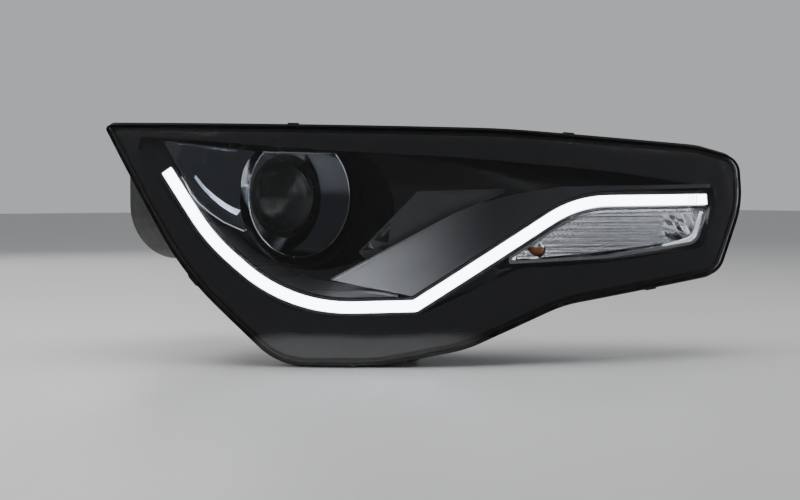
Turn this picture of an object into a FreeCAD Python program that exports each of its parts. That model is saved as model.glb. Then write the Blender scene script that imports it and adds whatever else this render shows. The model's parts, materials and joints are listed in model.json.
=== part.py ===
"""Car headlight assembly, right-hand front lamp, in millimetres.

Lamp frame: +X inboard (towards the middle of the car), +Y rearward, +Z up.  The clear cover is swept
back, so the pieces behind it are drawn in a face frame that is turned about Z by the sweep angle:
u across, w into the lamp, v up.  The finished pieces are moved so that the origin is at the seat of
the inboard upper mounting bush.
"""

import FreeCAD
import Part
import Sketcher
import math
import os

doc = FreeCAD.newDocument("headlight")
sheet = doc.addObject("Spreadsheet::Sheet", "Sizes")

DIMENSIONS = {
    # cover lens surface: w = (u - crest)^2 / 2 bend_across + rake v + v^2 / 2 bend_up
    "sweep_angle": 38.0,
    "crest_across": -30.0,
    "bend_across": 700.0,
    "bend_up": 450.0,
    "rake": 0.22,
    "cover_wall": 3.0,
    "skirt_depth": 34.0,
    "skirt_inset": 3.5,
    # joint between the cover and the housing
    "flange_front": 24.0,
    "groove_floor": 36.0,
    "flange_back": 40.0,
    "groove_outer": 2.0,
    "groove_inner": 8.5,
    # housing
    "housing_wall": 3.0,
    "tub_inset": 10.0,
    "slant_back": 165.0,
    "step_front": 95.0,
    "step_up": -76.0,
    "bucket_back": 300.0,
    "bucket_half_width": 78.0,
    "bucket_half_height": 64.0,
    "bucket_corner": 22.0,
    "bucket_low_corner": 56.0,
    "bucket_up": 43.0,
    # bezel behind the cover
    "bezel_depth": 14.0,
    "bezel_sheet": 2.5,
    "bezel_floor": 60.0,
    "bezel_floor_bend": 0.00042,
    "guide_half": 4.8,
    "guide_front": 15.5,
    "guide_back": 24.0,
    "carrier_half": 8.0,
    # beam axis and projector bezel
    "beam_across": -30.5,
    "beam_up": 43.0,
    "shroud_front": 112.5,
    "shroud_length": 25.0,
    "shroud_radius": 58.0,
    "shroud_wall": 1.6,
    "shroud_flat": 41.5,
    "collar_radius": 67.5,
    "collar_wall": 2.5,
    "collar_flat": 51.0,
    "collar_back": 158.0,
    # projector
    "glass_radius": 35.0,
    "glass_dome": 16.5,
    "glass_back": 143.0,
    "rim_radius": 36.2,
    "retainer_radius": 39.5,
    "barrel_front": 143.2,
    "barrel_back": 185.0,
    "barrel_radius": 51.5,
    "plate_radius": 59.0,
    "plate_thickness": 3.0,
    "bolt_circle": 55.0,
    "bolt_radius": 2.0,
    "bowl_radius": 35.0,
    "bowl_depth": 60.0,
    "bowl_wall": 2.0,
    "neck_radius": 18.5,
    "neck_back": 256.0,
    # aiming
    "pivot_depth": 207.0,
    "pivot_half_width": 58.0,
    "pivot_half_height": 48.0,
    "ball_radius": 5.0,
    "rod_radius": 2.5,
    # service cap
    "cap_radius": 46.0,
    "cap_wall": 3.0,
    "cap_depth": 15.0,
    # turn signal
    "turn_bulb_across": 127.0,
    "turn_bulb_up": -5.5,
    "turn_bulb_radius": 7.5,
    # outside pieces
    "ballast_width": 108.0,
    "ballast_length": 64.0,
    "ballast_height": 34.0,
    "driver_width": 66.0,
    "driver_height": 48.0,
    "driver_depth": 14.0,
    "bush_radius": 6.2,
    "bush_bore": 3.4,
    "bush_length": 13.0,
    "mount_across": 228.0,
    "mount_back": 47.0,
    "mount_up": 88.0,
}


class Size:
    """A length with its value and the spreadsheet expression it comes from."""

    def __init__(self, value, text):
        self.value = value
        self.text = text

    def __add__(self, other):
        other = as_size(other)
        return Size(self.value + other.value, f"({self.text} + {other.text})")

    def __radd__(self, other):
        return as_size(other) + self

    def __sub__(self, other):
        other = as_size(other)
        return Size(self.value - other.value, f"({self.text} - {other.text})")

    def __rsub__(self, other):
        return as_size(other) - self

    def __mul__(self, other):
        other = as_size(other)
        return Size(self.value * other.value, f"({self.text} * {other.text})")

    def __rmul__(self, other):
        return self * other

    def __neg__(self):
        return Size(-self.value, f"(-1 * {self.text})")


def as_size(value):
    if isinstance(value, Size):
        return value
    return Size(float(value), repr(float(value)))


def fill_sheet():
    for row, (alias, value) in enumerate(DIMENSIONS.items(), start=1):
        sheet.set(f"A{row}", alias)
        sheet.set(f"B{row}", str(value))
        sheet.setAlias(f"B{row}", alias)
    doc.recompute()


def dim(alias):
    return Size(float(sheet.get(alias)), f"Sizes.{alias}")


def mm(alias):
    return float(sheet.get(alias))


fill_sheet()

SWEEP = math.radians(mm("sweep_angle"))
ORIGIN = FreeCAD.Vector(mm("mount_across"), mm("mount_back"), mm("mount_up"))
ALONG_Z = FreeCAD.Rotation()
REARWARD = FreeCAD.Rotation(FreeCAD.Vector(1, 0, 0), -90)
FACE_TURN = FreeCAD.Rotation(FreeCAD.Vector(0, 0, 1), -mm("sweep_angle"))
FACE_REARWARD = FACE_TURN.multiply(REARWARD)
REACH_ACROSS = 460.0
REACH_UP = 260.0
FAR = 700.0

subparts = []


def vec(x, y, z):
    return FreeCAD.Vector(x, y, z)


def keep(obj, position=(0, 0, 0), rotation=ALONG_Z):
    """Registers a sub-part, and places it: position is in the lamp frame."""
    obj.Placement = FreeCAD.Placement(vec(*position) - ORIGIN, rotation)
    subparts.append(obj)
    return obj


def face_point(across, depth, up):
    """The lamp-frame place of a point of the face frame."""
    x = across * math.cos(SWEEP) + depth * math.sin(SWEEP)
    y = depth * math.cos(SWEEP) - across * math.sin(SWEEP)
    return (x, y, up)


# ---------------------------------------------------------------- outlines and free-form solids


def direction(start, end):
    run = math.hypot(end[0] - start[0], end[1] - start[1])
    return ((end[0] - start[0]) / run, (end[1] - start[1]) / run)


def shifted_corner(corner, first, second, distance):
    """A corner (across, up, radius) moved to the right of both runs that meet in it."""
    lean = 1 + first[0] * second[0] + first[1] * second[1]
    across = corner[0] + distance * (first[1] + second[1]) / lean
    up = corner[1] - distance * (first[0] + second[0]) / lean
    turn = first[0] * second[1] - first[1] * second[0]
    radius = corner[2]
    if radius > 0:
        radius = max(0.3, radius - distance if turn < 0 else radius + distance)
    return (across, up, radius)


def inset(corners, distance):
    """A closed clockwise outline drawn in by distance."""
    result = []
    for index, corner in enumerate(corners):
        first = direction(corners[index - 1], corner)
        second = direction(corner, corners[(index + 1) % len(corners)])
        result.append(shifted_corner(corner, first, second, distance))
    return result


def path_side(path, distance):
    """An open path moved to the right of its travel by distance."""
    result = []
    for index, corner in enumerate(path):
        first = direction(path[max(index - 1, 0)], path[max(index, 1)])
        second = first
        if index + 1 < len(path):
            second = direction(corner, path[index + 1])
        if index == 0:
            first = second
        result.append(shifted_corner(corner, first, second, distance))
    return result


def band(path, half):
    """The closed outline of a strip of width 2 half along a path."""
    return path_side(path, -half) + path_side(path, half)[::-1]


def rounded_wire(corners, depth=0.0):
    """A closed wire in a plane of constant y; each corner is (across, up, radius)."""
    stretches = []
    for index, (across, up, radius) in enumerate(corners):
        here = vec(across, depth, up)
        before = corners[index - 1]
        after = corners[(index + 1) % len(corners)]
        to_before = (vec(before[0], depth, before[1]) - here).normalize()
        to_after = (vec(after[0], depth, after[1]) - here).normalize()
        half = to_before.getAngle(to_after) / 2
        if radius <= 0 or half > math.pi / 2 - 1e-4:
            stretches.append((here, None, here))
            continue
        setback = radius / math.tan(half)
        inward = (to_before + to_after).normalize()
        middle = here + inward * (radius / math.sin(half) - radius)
        stretches.append((here + to_before * setback, middle, here + to_after * setback))
    edges = []
    for index, (start, middle, end) in enumerate(stretches):
        if middle is not None:
            edges.append(Part.Arc(start, middle, end).toShape())
        next_start = stretches[(index + 1) % len(stretches)][0]
        if end.distanceToPoint(next_start) > 1e-6:
            edges.append(Part.LineSegment(end, next_start).toShape())
    return Part.Wire(edges)


def prism(corners, start=-300.0, end=FAR):
    """A solid of constant outline along y."""
    return Part.Face(rounded_wire(corners, start)).extrude(vec(0, end - start, 0))


def ring_prism(outer, inner, start=-300.0, end=FAR):
    return prism(outer, start, end).cut(prism(inner, start - 1, end + 1))


def cover_depth(across, up):
    """Depth w of the cover's outer surface in the face frame."""
    bow = (across - mm("crest_across")) ** 2 / (2 * mm("bend_across"))
    return bow + mm("rake") * up + up ** 2 / (2 * mm("bend_up"))


def quadratic_controls(curve, reach):
    """The three Bezier controls of a quadratic between -reach and reach."""
    low = curve(-reach)
    high = curve(reach)
    return [low, 2 * curve(0.0) - (low + high) / 2, high]


def depth_face(offset, lean=(0.0, 0.0), bend=(0.0, 0.0), centre=(0.0, 0.0)):
    """The cover's surface set back by offset, with more lean and bend about a centre."""

    def across_part(u):
        return cover_depth(u, 0) + lean[0] * (u - centre[0]) + bend[0] * (u - centre[0]) ** 2

    def up_part(v):
        own = cover_depth(mm("crest_across"), v)
        return own + offset + lean[1] * (v - centre[1]) + bend[1] * (v - centre[1]) ** 2

    across = quadratic_controls(across_part, REACH_ACROSS)
    up = quadratic_controls(up_part, REACH_UP)
    poles = []
    for column in range(3):
        u = (column - 1) * REACH_ACROSS
        poles.append([vec(u, across[column] + up[row], (row - 1) * REACH_UP) for row in range(3)])
    surface = Part.BSplineSurface()
    surface.buildFromPolesMultsKnots(poles, [3, 3], [3, 3], [0, 1], [0, 1], False, False, 2, 2)
    return surface.toShape()


def slab(front, back):
    """What lies between two depths behind the cover's outer surface."""
    return depth_face(front).extrude(vec(0, back - front, 0))


def behind(face):
    return face.extrude(vec(0, FAR, 0))


def before(face):
    return face.extrude(vec(0, -FAR, 0))


def face_box(low, high):
    """A box of the face frame, from corner to corner."""
    size = [high[axis] - low[axis] for axis in range(3)]
    return Part.makeBox(size[0], size[1], size[2], vec(*low))


def in_lamp_frame(shape):
    turned = shape.copy()
    turned.rotate(vec(0, 0, 0), vec(0, 0, 1), -mm("sweep_angle"))
    return turned


def in_face_frame(shape):
    turned = shape.copy()
    turned.rotate(vec(0, 0, 0), vec(0, 0, 1), mm("sweep_angle"))
    return turned


def free_form(label, shape, rotation=FACE_TURN):
    """A sub-part whose shape is worked out here, in the face frame unless another turn is given."""
    feature = doc.addObject("Part::Feature", label)
    feature.Label = label
    feature.Shape = shape.removeSplitter() if len(shape.Solids) == 1 else shape
    return keep(feature, rotation=rotation)


# The housing's outer lip, seen square to the face, clockwise from the outboard tip.
LIP = [
    (-286, 114, 7),
    (95, 107, 900),
    (288, 93, 70),
    (331, 82, 20),
    (331, 35, 90),
    (303, -32, 26),
    (150, -57, 120),
    (60, -96, 120),
    (-20, -110.5, 160),
    (-110, -110.5, 64),
    (-199, -28, 300),
]
# The centre line of the light guide, from its outboard top end, with the kink at its lowest stretch.
GUIDE_PATH = [
    (-217, 67, 0),
    (-173, 4, 190),
    (-99, -58, 150),
    (13.5, -55.5, 0),
    (164, 38.5, 110),
    (293, 40, 0),
]
# The lower edge of the bezel's upper brow, from outboard to inboard.
BROW = [(-243, 99, 3), (-64, 85, 0), (60, 78.5, 300), (200, 66, 200), (303, 51, 4)]
LED_ENDS = [(GUIDE_PATH[0], GUIDE_PATH[1]), (GUIDE_PATH[5], GUIDE_PATH[4])]
CAVITY = BROW + [(301, 30, 60), (287, -6, 14), (190, -18, 200), (108, -22.5, 2)]
CAVITY += path_side(GUIDE_PATH, 8.6)[1:4][::-1]
CAVITY += [(-246, 89, 3)]
WING = [(-64, -32, 1), (69.6, 38.4, 260), (150, 52, 100), (296, 54.5, 1), (296, 51.2, 0)]
WING += path_side(GUIDE_PATH, -9.0)[3:5][::-1]
SIDE_MIRROR = [(-222, 95, 2), (-128, 84, 2), (-139, 12, 2), (-198, 56, 120)]
FACET = [(-38, -8, 1), (16, 47.5, 2), (104, 50, 2), (66, 32, 0), (-28, -18, 0)]


def turn_window():
    """The turn signal's window, under the light guide and with its flank parallel to it."""
    flank = path_side(GUIDE_PATH, 9.6)
    kink, crest = flank[3], flank[4]
    start = 100.0
    rise = (crest[1] - kink[1]) / (crest[0] - kink[0])
    return [
        (start, -17.5, 0.5),
        (start, kink[1] + rise * (start - kink[0]), 0.8),
        crest,
        (292, flank[5][1], 3),
        (281, -1, 14),
        (190, -13.5, 250),
    ]


def make_cover():
    outer = slab(0, mm("skirt_depth")).common(prism(inset(LIP, mm("skirt_inset"))))
    inner_outline = inset(LIP, mm("skirt_inset") + mm("cover_wall"))
    inner = slab(mm("cover_wall"), 90).common(prism(inner_outline))
    return outer.cut(inner)


def groove():
    ring = ring_prism(inset(LIP, mm("groove_outer")), inset(LIP, mm("groove_inner")))
    return slab(mm("flange_front") - 4, mm("groove_floor")).common(ring)


def make_sealant(cover):
    bead = behind(depth_face(mm("groove_floor") - 5.5)).common(groove())
    return bead.cut(cover)


def tub(extra, front):
    """The main tub in the face frame, as a solid; extra draws it in on every side."""
    body = prism(inset(LIP, mm("tub_inset") + extra), -100, mm("slant_back") - extra)
    step = face_box((-500, mm("step_front") - extra, -300), (500, 400, mm("step_up") + extra))
    return body.common(behind(depth_face(front))).cut(step)


def interior(gap):
    """The room inside the housing, in the face frame."""
    front = slab(-20, mm("flange_front") - 0.1).common(prism(inset(LIP, 9.0)))
    throat = slab(-20, mm("flange_back")).common(prism(inset(LIP, 12.2)))
    return front.fuse(throat).fuse(tub(mm("housing_wall") + gap, mm("flange_back") - 0.5))


def bucket(extra, front):
    """The deep part of the housing behind the projector."""
    half_width = mm("bucket_half_width") - extra
    half_height = mm("bucket_half_height") - extra
    x, z = mm("beam_across"), mm("bucket_up")
    tight = mm("bucket_corner") - extra
    wide = mm("bucket_low_corner") - extra
    corners = [
        (x - half_width, z + half_height, tight),
        (x + half_width, z + half_height, tight),
        (x + half_width, z - half_height, tight),
        (x - half_width, z - half_height, wide),
    ]
    body = prism(corners, 150, mm("bucket_back") - extra)
    return body.common(in_lamp_frame(behind(depth_face(front))))


def tube_along_y(x, z, radius, start, end):
    return Part.makeCylinder(radius, end - start, vec(x, start, z), vec(0, 1, 0))


def post_up(x, y, radius, bottom, top):
    return Part.makeCylinder(radius, top - bottom, vec(x, y, bottom), vec(0, 0, 1))


AIM_LEFT = mm("beam_across") - mm("pivot_half_width")
AIM_RIGHT = mm("beam_across") + mm("pivot_half_width")
AIM_TOP = mm("beam_up") + mm("pivot_half_height")
AIM_BOTTOM = mm("beam_up") - mm("pivot_half_height")
UPPER_OUTBOARD = (68.0, 274.0, mm("mount_up"))
UPPER_INBOARD = (mm("mount_across"), mm("mount_back"), mm("mount_up"))
CONNECTOR_LOW = (72.0, 112.0, 16.0)
CONNECTOR_SIZE = (50.0, 70.0, 27.0)
VENTS = [(20.0, 78.0), (236.0, 75.0)]
BALLAST_ACROSS = -92.0
BALLAST_FRONT = 99.0
BALLAST_SCREWS = [(-96.5, 108.0), (20.5, 108.0), (-96.5, 154.0), (20.5, 154.0)]
DRIVER_LOW = (200.0, 9.0)
DRIVER_SCREWS = [(196.5, 33.0), (269.5, 33.0)]
BRACKET_LOW = (4.0, -58.0)
BRACKET_SCREWS = [(12.0, -42.0), (36.0, -42.0)]
CLIPS = [(-100, 110.6), (160, 102.5), (331, 56), (236, -45), (12, -107), (-190, -34)]


def back_ribs():
    """Stiffening ribs across the slanted back wall, cut to the tub's outline."""
    start = mm("slant_back") - 1
    height = 7.0
    ribs = []
    for across in (-20.0, 60.0, 100.0, 178.0, 286.0):
        ribs.append(face_box((across, start, -300), (across + 2.2, start + height, 300)))
    for up in (-30.0, 63.0):
        ribs.append(face_box((-40, start, up), (400, start + height, up + 2.2)))
    cross = ribs[0].multiFuse(ribs[1:])
    keep_clear = face_box((106, 100, -40), (166, 400, 34))
    keep_clear = keep_clear.fuse(face_box((190, 100, 2), (276, 400, 62.5)))
    cross = cross.common(prism(inset(LIP, mm("tub_inset")))).cut(keep_clear)
    return in_lamp_frame(cross.common(face_box((-40, 100, mm("step_up")), (400, 400, 200))))


def mounting_tab(place, reach, turn=0.0):
    """A plate with a boss round the bush; reach is how far it runs to the housing, along -Y unless turned."""
    x, y, z = place
    plate = Part.makeBox(34, reach, 5, vec(x - 17, y - reach, z + 3))
    nose = post_up(x, y, 17, z + 3, z + 8)
    boss = post_up(x, y, 9.5, z + 0.5, z + mm("bush_length") - 0.5)
    web_left = Part.makeBox(3, reach - 9, 12, vec(x - 17, y - reach, z - 6))
    web_right = Part.makeBox(3, reach - 9, 12, vec(x + 14, y - reach, z - 6))
    tab = plate.multiFuse([nose, boss, web_left, web_right])
    tab.rotate(vec(*place), vec(0, 0, 1), turn)
    return tab


def bush_hole(place):
    return post_up(place[0], place[1], mm("bush_radius") + 0.02, place[2] - 40, place[2] + 40)


def housing_holes():
    """Everything drilled or bored through the housing walls, as one shape."""
    x, z = mm("beam_across"), mm("beam_up")
    back = mm("bucket_back")
    x0, y0, z0 = CONNECTOR_LOW
    end = y0 + CONNECTOR_SIZE[1]
    holes = [
        tube_along_y(x, z, mm("cap_radius") - mm("cap_wall"), back - 10, back + 40),
        tube_along_y(AIM_RIGHT, AIM_BOTTOM, 4.2, back - 10, back + 40),
        tube_along_y(AIM_RIGHT, AIM_TOP, mm("rod_radius") + 0.02, back - 10, back + 40),
        tube_along_y(AIM_LEFT, AIM_TOP, 4.2, back - 10, back + 40),
        Part.makeBox(44, 40, 21, vec(x0 + 3, end - 26, z0 + 3)),
        bush_hole(UPPER_INBOARD),
        bush_hole(UPPER_OUTBOARD),
        in_lamp_frame(tube_along_y(mm("turn_bulb_across"), mm("turn_bulb_up"), 14.2, 140, 200)),
    ]
    for across, up in VENTS:
        holes.append(in_lamp_frame(tube_along_y(across, up, 4.5, 140, 200)))
    for across, depth in BALLAST_SCREWS:
        holes.append(in_lamp_frame(post_up(across, depth, 2.05, -90, -60)))
    for across, up in DRIVER_SCREWS + BRACKET_SCREWS:
        holes.append(in_lamp_frame(tube_along_y(across, up, 1.55, 140, 200)))
    return holes[0].multiFuse(holes[1:])


def housing_inside():
    wall = mm("housing_wall")
    opening = slab(10, mm("flange_back") + 1).common(prism(inset(LIP, 11.5)))
    return in_lamp_frame(tub(wall, mm("flange_back") - 0.5)).multiFuse(
        [bucket(wall, mm("flange_back") - 0.5), in_lamp_frame(opening)]
    )


def make_housing():
    """The housing's welded parts: tub, its slanted back, the bulb chamber's walls, the connector."""
    flange = slab(mm("flange_front"), mm("flange_back")).common(prism(LIP))
    x, z = mm("beam_across"), mm("beam_up")
    back = mm("bucket_back")
    deep = bucket(0.0, mm("flange_back") - 2)
    wide = in_lamp_frame(tub(0.0, mm("groove_floor"))).multiFuse(
        [in_lamp_frame(flange), back_ribs().cut(deep), mounting_tab(UPPER_INBOARD, 44)]
    )
    chamber = deep.multiFuse(
        [
            tube_along_y(x, z, mm("cap_radius"), back - 6, back + mm("cap_depth")),
            tube_along_y(AIM_RIGHT, AIM_BOTTOM, 16, back - 6, back + 4),
            tube_along_y(AIM_RIGHT, AIM_TOP, 8, back - 6, back + 3),
            tube_along_y(AIM_LEFT, AIM_TOP, 8, back - 6, back + 5),
            mounting_tab(UPPER_OUTBOARD, 23, -90),
        ]
    )
    plug = Part.makeBox(*CONNECTOR_SIZE, vec(*CONNECTOR_LOW)).cut(wide).cut(chamber)
    inside = housing_inside().multiFuse([in_lamp_frame(groove()), housing_holes()])
    behind_tub = in_lamp_frame(face_box((-200, mm("slant_back") - mm("housing_wall"), -400), (600, 600, 400)))
    behind_bulb = Part.makeBox(800, 400, 800, vec(-400, back - mm("housing_wall"), -400))
    above = Part.makeBox(800, 800, 400, vec(-400, -200, 80))
    below = Part.makeBox(800, 800, 400, vec(-400, -200, -399))
    outboard = Part.makeBox(400 + x, 800, 800, vec(-400, -200, -400))
    chamber = chamber.cut(wide).cut(inside)
    wide = wide.cut(inside)
    walls = chamber.cut(behind_bulb)
    sides = walls.cut(above.fuse(below))
    return {
        "rear_housing": wide.cut(behind_tub),
        "housing_back": wide.common(behind_tub),
        "chamber_top": walls.common(above),
        "chamber_floor": walls.common(below),
        "chamber_wall_outboard": sides.common(outboard),
        "chamber_wall_inboard": sides.cut(outboard),
        "chamber_back": chamber.common(behind_bulb),
        "main_connector": plug.cut(inside),
    }


def make_bezel():
    sheet_thickness = mm("bezel_sheet")
    front = mm("bezel_depth")
    bend = (-mm("bezel_floor_bend"), 0.0)
    floor_face = depth_face(mm("bezel_floor"), bend=bend, centre=(60, 0))
    rim = inset(LIP, 9.2)
    plate = slab(front, front + sheet_thickness).common(ring_prism(rim, CAVITY))
    edge = slab(front, mm("flange_front") - 0.1).common(ring_prism(rim, inset(rim, 2.0)))
    wall = behind(depth_face(front)).common(ring_prism(inset(CAVITY, -2.2), CAVITY))
    wall = wall.common(before(floor_face.translated(vec(0, 1, 0))))
    floor = floor_face.extrude(vec(0, sheet_thickness, 0)).common(prism(inset(CAVITY, -1.0)))
    body = plate.multiFuse([edge, wall, floor])
    beam = in_face_frame(flat_topped_tube(0.6)).common(behind(depth_face(20.0)))
    turn_hole = prism(inset(turn_window(), -1.0), 60, 400)
    body = body.common(interior(1.2)).cut(beam).cut(turn_hole)
    for end, towards in LED_ENDS:
        seat = prism(band(led_seat(end, towards), 8.1)).common(behind(depth_face(27.1)))
        body = body.cut(seat)
    return body


def flat_topped_tube(extra):
    """The projector's opening, round with a flat top; extra widens it."""
    x, z = mm("beam_across"), mm("beam_up")
    radius = mm("collar_radius") + extra
    top = mm("collar_flat") + extra
    limit = Part.makeBox(4 * radius, FAR, 2 * radius, vec(x - 2 * radius, 40, z + top - 2 * radius))
    return tube_along_y(x, z, radius, 40, 400).common(limit)


def make_collar():
    x = mm("beam_across")
    front = mm("shroud_front") - 5
    reach = Part.makeBox(400, mm("collar_back") - front, 400, vec(x - 200, front, -150))
    tube = flat_topped_tube(0).cut(flat_topped_tube(-mm("collar_wall")))
    return tube.common(reach).common(in_lamp_frame(behind(depth_face(20.5))))


def make_guide():
    return slab(mm("guide_front"), mm("guide_back")).common(prism(band(GUIDE_PATH, mm("guide_half"))))


def make_guide_carrier():
    channel = slab(18.0, 27.0).common(prism(band(GUIDE_PATH, mm("carrier_half"))))
    seat = prism(band(GUIDE_PATH, mm("guide_half") + 0.3))
    return channel.cut(slab(10.0, mm("guide_back") + 0.2).common(seat))


def make_wing():
    kink = GUIDE_PATH[3]
    along = direction(kink, GUIDE_PATH[4])
    lean = (-0.10 * along[1], 0.10 * along[0])
    face = depth_face(14.5, lean=lean, centre=kink[:2])
    skin = face.extrude(vec(0, 2.4, 0)).common(prism(WING))
    deep = face.extrude(vec(0, 34, 0)).common(ring_prism(WING, inset(WING, 1.6)))
    end_face = face_box((-200, -100, -200), (120, 300, 200))
    return skin.fuse(deep.common(end_face))


def make_side_mirror():
    face = depth_face(19.0, lean=(0.30, -0.05), bend=(-0.0012, -0.0010), centre=(-214, 60))
    skin = face.extrude(vec(0, 2.2, 0)).common(prism(SIDE_MIRROR))
    edge = ring_prism(SIDE_MIRROR, inset(SIDE_MIRROR, 1.4))
    rim = before(face).common(edge).common(behind(depth_face(18.0)))
    return skin.fuse(rim).cut(in_face_frame(flat_topped_tube(0.8)))


def make_facet():
    face = depth_face(40.0, lean=(0.10, -0.18), centre=(20, 20))
    skin = face.extrude(vec(0, 2.2, 0)).common(prism(FACET))
    rim_zone = ring_prism(FACET, inset(FACET, 1.2)).common(face_box((-100, -50, -100), (300, 300, 100)))
    rim = face.extrude(vec(0, -4, 0)).common(rim_zone)
    return skin.fuse(rim)


def interpolated(points):
    curve = Part.BSplineCurve()
    curve.interpolate([vec(*point) for point in points])
    return curve.toShape()


def make_bowl():
    """The bright skirt between the guide and the projector: a ruled sheet 2 mm thick."""
    inner_side = path_side(GUIDE_PATH, -9.0)
    wire = rounded_wire(inner_side[:4] + [(13.5, 300, 0), (-219, 300, 0)])
    edges = wire.Edges[:6]
    outer = []
    for edge in edges:
        for point in edge.discretize(Number=5):
            if not outer or abs(point.x - outer[-1][0]) > 2.0:
                outer.append((point.x, point.z))
    outer = [point for point in outer if point[0] < 4.0 and point[1] < 62]
    outer = [(u, cover_depth(u, v) + 17.0, v) for u, v in outer]
    inner_places = [
        (-201, 53, 24.0),
        (-178, 30, 30.0),
        (-141, 5, 40.0),
        (-118, -16, 44.0),
        (-92, -29, 40.0),
        (-60, -35, 32.0),
        (-2, -45.2, 20.0),
    ]
    inner = [(u, cover_depth(u, v) + depth, v) for u, v, depth in inner_places]
    sheet_face = Part.makeRuledSurface(interpolated(outer), interpolated(inner))
    skin = sheet_face.extrude(vec(0, 2.0, 0))
    return skin.cut(in_face_frame(flat_topped_tube(0.8)))


def make_turn_reflector():
    window = turn_window()
    bend = (-0.0021, -0.022)
    centre = (205, 8)
    back = depth_face(62.0, bend=bend, centre=centre)
    outer_back = depth_face(64.0, bend=bend, centre=centre)
    outer = before(outer_back).common(behind(depth_face(20.0))).common(prism(window))
    inner = before(back).common(behind(depth_face(10.0))).common(prism(inset(window, 1.8)))
    bulb = tube_along_y(mm("turn_bulb_across"), mm("turn_bulb_up"), 9.0, 55, 200)
    return outer.cut(inner).cut(bulb)


def make_turn_frame():
    window = turn_window()
    return slab(17.4, 19.8).common(ring_prism(inset(window, -0.9), inset(window, 1.3)))


def make_clips():
    """Spring clips that hold the cover's edge to the flange, each over a short stretch of the lip."""
    side = slab(26, 41.6).common(ring_prism(inset(LIP, -1.3), inset(LIP, -0.1)))
    hook = slab(40.2, 41.6).common(ring_prism(inset(LIP, -1.3), inset(LIP, 5.0)))
    strip = side.fuse(hook)
    clips = []
    for across, up in CLIPS:
        clips.append(strip.common(face_box((across - 5, -50, up - 5), (across + 5, 300, up + 5))))
    return Part.makeCompound([solid for clip in clips for solid in clip.Solids])


def led_seat(end, towards):
    """The first 15 mm of the guide's centre line from one of its ends."""
    along = direction(end, towards)
    return [end, (end[0] + 15 * along[0], end[1] + 15 * along[1], 0)]


def make_led_module(end, towards):
    """The light source behind one end of the guide, with a small cooling plate."""
    case = prism(band(led_seat(end, towards), 6.5)).common(slab(27.2, 36))
    plate = prism(band(led_seat(end, towards), 7.6)).common(slab(36, 37.6))
    return case.fuse(plate)


def make_free_forms():
    cover = make_cover()
    free_form("outer_lens", cover)
    free_form("lens_sealant", make_sealant(cover))
    for label, shape in make_housing().items():
        free_form(label, shape, ALONG_Z)
    free_form("main_bezel", make_bezel())
    free_form("projector_collar", make_collar(), ALONG_Z)
    free_form("light_guide", make_guide())
    free_form("guide_carrier", make_guide_carrier())
    free_form("wing_trim", make_wing())
    free_form("side_mirror", make_side_mirror())
    free_form("upper_facet", make_facet())
    free_form("lower_bowl_trim", make_bowl())
    free_form("turn_reflector", make_turn_reflector())
    free_form("turn_frame", make_turn_frame())
    free_form("lens_clips", make_clips())
    free_form("led_module_outboard", make_led_module(*LED_ENDS[0]))
    free_form("led_module_inboard", make_led_module(*LED_ENDS[1]))




# ---------------------------------------------------------------- turned and boxed pieces


def bind(obj, sizes):
    for name, value in sizes.items():
        obj.setExpression(name, as_size(value).text)


def put(obj, at, turn=ALONG_Z):
    obj.Placement = FreeCAD.Placement(vec(0, 0, 0), turn)
    for axis, value in zip("xyz", at):
        obj.setExpression(f"Placement.Base.{axis}", as_size(value).text)
    return obj


def origin_feature(body, role):
    return next(item for item in body.Origin.OriginFeatures if item.Role == role)


def arc_between(start, end, radius):
    """The arc from start to end that bulges to the left for a positive radius."""
    middle = (start + end) * 0.5
    along = end - start
    left = vec(-along.y, along.x, 0).normalize()
    half = along.Length / 2
    rise = abs(radius) - math.sqrt(radius ** 2 - half ** 2)
    bulge = middle + left * math.copysign(rise, radius)
    if radius > 0:
        return Part.Arc(end, bulge, start)
    return Part.Arc(start, bulge, end)


def profile(body, name, points, plane="XZ_Plane"):
    """A closed sketch; each point is (across, along) and may add the radius of the run after it."""
    sketch = body.newObject("Sketcher::SketchObject", name)
    sketch.AttachmentSupport = (origin_feature(body, plane), [""])
    sketch.MapMode = "FlatFace"
    places = [[as_size(value) for value in point[:2]] for point in points]
    spots = [vec(across.value, along.value, 0) for across, along in places]
    joins = []
    for index, point in enumerate(points):
        start, end = spots[index], spots[(index + 1) % len(spots)]
        if len(point) == 3:
            arc = arc_between(start, end, as_size(point[2]).value)
            sketch.addGeometry(arc)
            forward = sketch.Geometry[index].StartPoint.distanceToPoint(start) < 1e-6
            joins.append((1, 2) if forward else (2, 1))
        else:
            sketch.addGeometry(Part.LineSegment(start, end))
            joins.append((1, 2))
    for index, point in enumerate(points):
        following = (index + 1) % len(points)
        link = Sketcher.Constraint("Coincident", index, joins[index][1], following, joins[following][0])
        sketch.addConstraint(link)
        if len(point) == 3:
            radius = abs(as_size(point[2]).value)
            sketch.addConstraint(Sketcher.Constraint("Radius", index, radius))
        for kind, axis, value in zip(("DistanceX", "DistanceY"), (-2, -1), places[index]):
            if value.value == 0:
                on_axis = Sketcher.Constraint("PointOnObject", index, joins[index][0], axis)
                sketch.addConstraint(on_axis)
                continue
            spot = Sketcher.Constraint(kind, -1, 1, index, joins[index][0], value.value)
            number = sketch.addConstraint(spot)
            sketch.setExpression(f"Constraints[{number}]", value.text)
    return sketch


def new_body(label):
    body = doc.addObject("PartDesign::Body", label)
    body.Label = label
    return body


def turned(label, points):
    """A body turned about its own Z from a profile of (radius, height)."""
    body = new_body(label)
    sketch = profile(body, f"{label}_profile", points)
    revolution = body.newObject("PartDesign::Revolution", f"{label}_turned")
    revolution.Profile = sketch
    revolution.ReferenceAxis = (sketch, ["V_Axis"])
    revolution.Angle = 360
    doc.recompute()
    return body


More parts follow.
